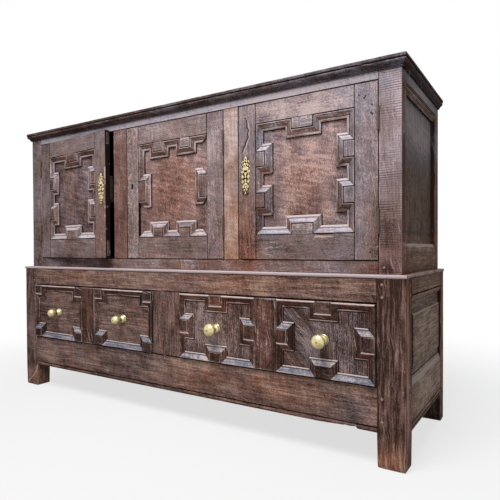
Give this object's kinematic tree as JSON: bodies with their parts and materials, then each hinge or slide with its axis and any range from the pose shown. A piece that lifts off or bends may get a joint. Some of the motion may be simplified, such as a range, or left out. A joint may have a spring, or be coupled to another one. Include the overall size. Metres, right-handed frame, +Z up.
{
  "type": "press cupboard",
  "caption": "Low joined-oak press cupboard in two stages: framed doors with mitred mouldings above deep drawers, on post feet.",
  "frame": {"origin": "on the floor under the middle of the bounding box at rest, which reaches from the knobs' fronts to the back", "axes": "+X to the viewer's right as they face the doors, +Y towards the back, +Z up"},
  "size_m": [1.686, 0.565, 1.121],
  "materials": {
    "oak_frame": "old waxed oak, worn sheen",
    "oak_base": "old waxed oak, reddish brown",
    "oak_light": "waxed oak, orange tan",
    "oak_door": "old waxed oak",
    "oak_door_panel": "waxed oak, mottled",
    "oak_moulding": "waxed oak, worn arrises",
    "oak_drawer_field": "coarse ribbed waxed oak",
    "oak_drawer_moulding": "waxed oak, worn arrises",
    "oak_side": "old oak, dull",
    "oak_side_panel": "old oak, dull, bluish above",
    "oak_inside": "unfinished oak",
    "oak_pegs": "dark oak",
    "brass": "old polished brass",
    "iron": "dark wrought iron"
  },
  "bodies": {
    "carcase": {"base_back_boards": "oak_inside", "base_back_posts": "oak_base", "base_bottom_rail": "oak_base", "base_front_left_post": "oak_base", "base_front_right_post": "oak_base", "base_muntin": "oak_base", "base_side_panels": "oak_side_panel", "base_side_rails": "oak_side", "base_top_rail": "oak_base", "cornice": "oak_frame", "cupboard_floor": "oak_inside", "cupboard_shelf": "oak_inside", "drawer_runners": "oak_inside", "frame_pegs": "oak_pegs", "hinge_jamb_leaves": "iron", "top_boards": "oak_frame", "upper_back_boards": "oak_inside", "upper_back_posts": "oak_frame", "upper_bottom_rail": "oak_frame", "upper_front_left_post": "oak_frame", "upper_front_right_post": "oak_frame", "upper_left_muntin": "oak_frame", "upper_right_muntin": "oak_light", "upper_side_panels": "oak_side_panel", "upper_side_rails": "oak_side", "upper_top_rail": "oak_frame", "waist_moulding": "oak_frame"},
    "door_left": {"door_left_escutcheon": "brass", "door_left_hinge_leaves": "iron", "door_left_lock_case": "iron", "door_left_mouldings": "oak_moulding", "door_left_panel": "oak_door_panel", "door_left_rails": "oak_door", "door_left_stiles": "oak_door"},
    "lock_left": {"door_left_lock_bolt": "iron"},
    "door_middle": {"door_middle_hinge_leaves": "iron", "door_middle_lock_case": "iron", "door_middle_mouldings": "oak_moulding", "door_middle_panel": "oak_door_panel", "door_middle_rails": "oak_door", "door_middle_stiles": "oak_door"},
    "lock_middle": {"door_middle_lock_bolt": "iron"},
    "door_right": {"door_right_escutcheon": "brass", "door_right_hinge_leaves": "iron", "door_right_lock_case": "iron", "door_right_mouldings": "oak_moulding", "door_right_panel": "oak_door_panel", "door_right_rails": "oak_door", "door_right_stiles": "oak_door"},
    "lock_right": {"door_right_lock_bolt": "iron"},
    "drawer_left": {"drawer_left_bottom": "oak_inside", "drawer_left_box": "oak_inside", "drawer_left_front": "oak_base", "drawer_left_knobs": "brass", "drawer_left_mouldings": "oak_drawer_moulding"},
    "drawer_right": {"drawer_right_bottom": "oak_inside", "drawer_right_box": "oak_inside", "drawer_right_front": "oak_drawer_field", "drawer_right_knobs": "brass", "drawer_right_mouldings": "oak_drawer_moulding"}
  },
  "joints": [
    {"name": "door_left_hinge", "type": "hinge", "parent": "carcase", "child": "door_left", "pos_m": [-0.759, -0.2075, 0.816], "axis": [0, 0, -1], "range_deg": [-5, 105]},
    {"name": "door_middle_hinge", "type": "hinge", "parent": "carcase", "child": "door_middle", "pos_m": [0.2345, -0.2075, 0.816], "axis": [0, 0, 1], "range_deg": [0, 110]},
    {"name": "door_right_hinge", "type": "hinge", "parent": "carcase", "child": "door_right", "pos_m": [0.759, -0.2075, 0.816], "axis": [0, 0, 1], "range_deg": [0, 110]},
    {"name": "drawer_left_slide", "type": "slide", "parent": "carcase", "child": "drawer_left", "axis": [0, -1, 0], "range_m": [0, 0.33]},
    {"name": "drawer_right_slide", "type": "slide", "parent": "carcase", "child": "drawer_right", "axis": [0, -1, 0], "range_m": [0, 0.33]},
    {"name": "lock_left_throw", "type": "slide", "parent": "door_left", "child": "lock_left", "axis": [0.9962, -0.0872, 0], "range_m": [0, 0.009]},
    {"name": "lock_middle_throw", "type": "slide", "parent": "door_middle", "child": "lock_middle", "axis": [-1, 0, 0], "range_m": [0, 0.009]},
    {"name": "lock_right_throw", "type": "slide", "parent": "door_right", "child": "lock_right", "axis": [-1, 0, 0], "range_m": [0, 0.009]}
  ]
}
